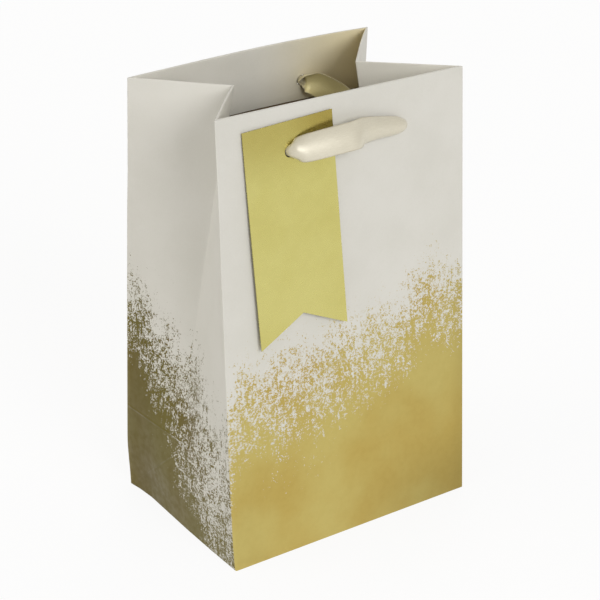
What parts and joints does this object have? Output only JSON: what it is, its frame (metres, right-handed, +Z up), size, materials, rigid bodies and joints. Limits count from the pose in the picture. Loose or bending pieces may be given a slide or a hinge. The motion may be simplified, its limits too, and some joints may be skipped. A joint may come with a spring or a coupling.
{
  "type": "gift bag",
  "caption": "Small folded paper gift bag with gusseted sides, satin ribbon handles through punched holes and a swallowtail gift tag on the front ribbon.",
  "frame": {"origin": "on the floor under the middle of the bag", "axes": "+Z up, +X to the right along the front panel, +Y to the back panel"},
  "size_m": [0.126, 0.091, 0.2],
  "materials": {
    "printed_paper": "matt laminated off-white paper, gold foil spatter rising from the foot",
    "board": "plain grey board",
    "ribbon": "cream satin",
    "foil_card": "pale gold mirror foil on card"
  },
  "bodies": {
    "bag": {"front_panel": "printed_paper", "back_panel": "printed_paper", "left_gusset_front": "printed_paper", "left_gusset_back": "printed_paper", "left_gusset_foot": "printed_paper", "left_gusset_corner_front": "printed_paper", "left_gusset_corner_back": "printed_paper", "right_gusset_front": "printed_paper", "right_gusset_back": "printed_paper", "right_gusset_foot": "printed_paper", "right_gusset_corner_front": "printed_paper", "right_gusset_corner_back": "printed_paper", "front_hem": "printed_paper", "back_hem": "printed_paper", "left_hem_front": "printed_paper", "left_hem_back": "printed_paper", "right_hem_front": "printed_paper", "right_hem_back": "printed_paper", "bottom_flap_back": "printed_paper", "bottom_flap_front": "printed_paper", "bottom_flap_left": "printed_paper", "bottom_flap_right": "printed_paper", "seam_flap": "printed_paper", "front_top_board": "board", "back_top_board": "board", "base_board": "board", "front_left_tail": "ribbon", "front_right_tail": "ribbon", "back_left_tail": "ribbon", "back_right_tail": "ribbon", "front_left_knot": "ribbon", "front_right_knot": "ribbon", "back_left_knot": "ribbon", "back_right_knot": "ribbon"},
    "front_handle_stretch": {"front_handle": "ribbon"},
    "back_handle_stretch": {"back_handle": "ribbon"},
    "tag": {"gift_tag": "foil_card"}
  },
  "joints": [
    {"name": "front_handle_swing", "type": "hinge", "parent": "bag", "child": "front_handle_stretch", "pos_m": [0, -0.03734, 0.18116], "axis": [-1, 0, 0], "range_deg": [-38, 35]},
    {"name": "back_handle_swing", "type": "hinge", "parent": "bag", "child": "back_handle_stretch", "pos_m": [0, 0.03614, 0.18109], "axis": [1, 0, 0], "range_deg": [-38, 28]},
    {"name": "tag_swing", "type": "hinge", "parent": "bag", "child": "tag", "pos_m": [-0.0285, -0.03544, 0.18105], "axis": [0, -0.997, 0.0773], "range_deg": [-92, 57]}
  ]
}
